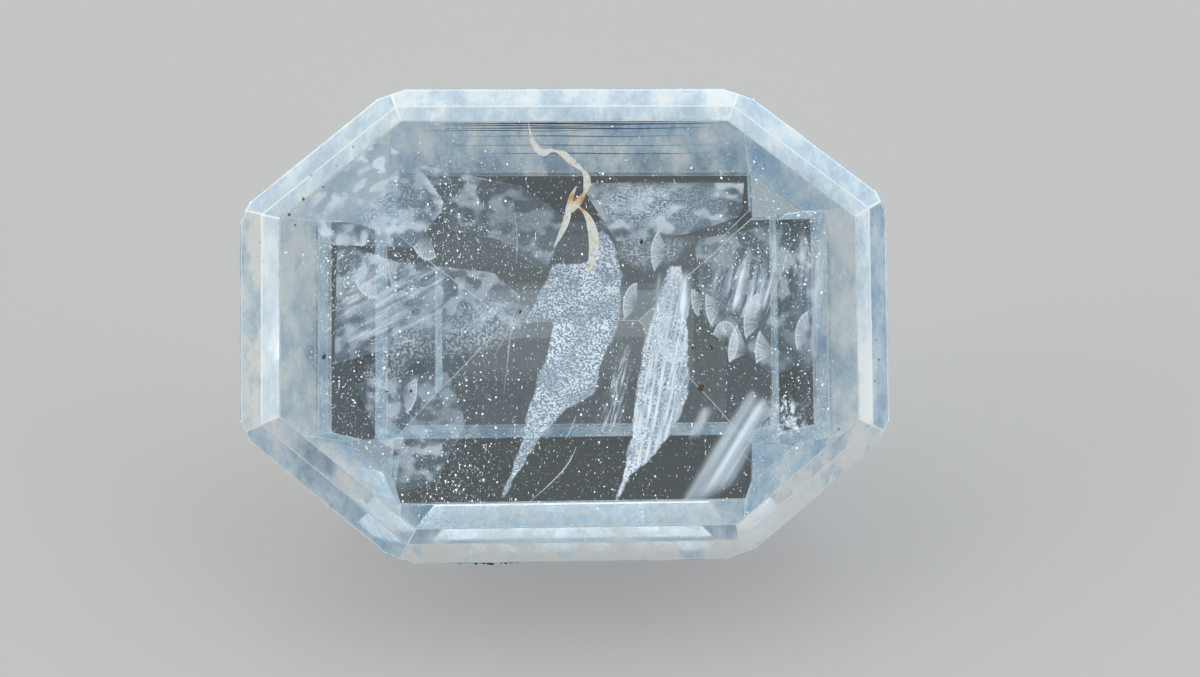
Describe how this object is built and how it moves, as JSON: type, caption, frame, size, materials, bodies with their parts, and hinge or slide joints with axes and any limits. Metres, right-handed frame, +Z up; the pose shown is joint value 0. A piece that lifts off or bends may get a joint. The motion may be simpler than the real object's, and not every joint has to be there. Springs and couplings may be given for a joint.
{
  "type": "cut sapphire gemstone",
  "caption": "Octagonal step-cut sapphire with a broad table, a narrow stepped crown and a bellied, tiered pavilion, lying loose on a facet of its pavilion.",
  "frame": {"origin": "middle of the stone's box, on the plane that it lies on", "axes": "+X along the stone's length, -Y towards the side that the table leans to, +Z up"},
  "size_m": [0.012, 0.0072, 0.0066],
  "materials": {
    "sapphire": "polished, clear at heart and milky towards the girdle"
  },
  "bodies": {
    "root": {"sapphire": "sapphire"}
  },
  "joints": []
}
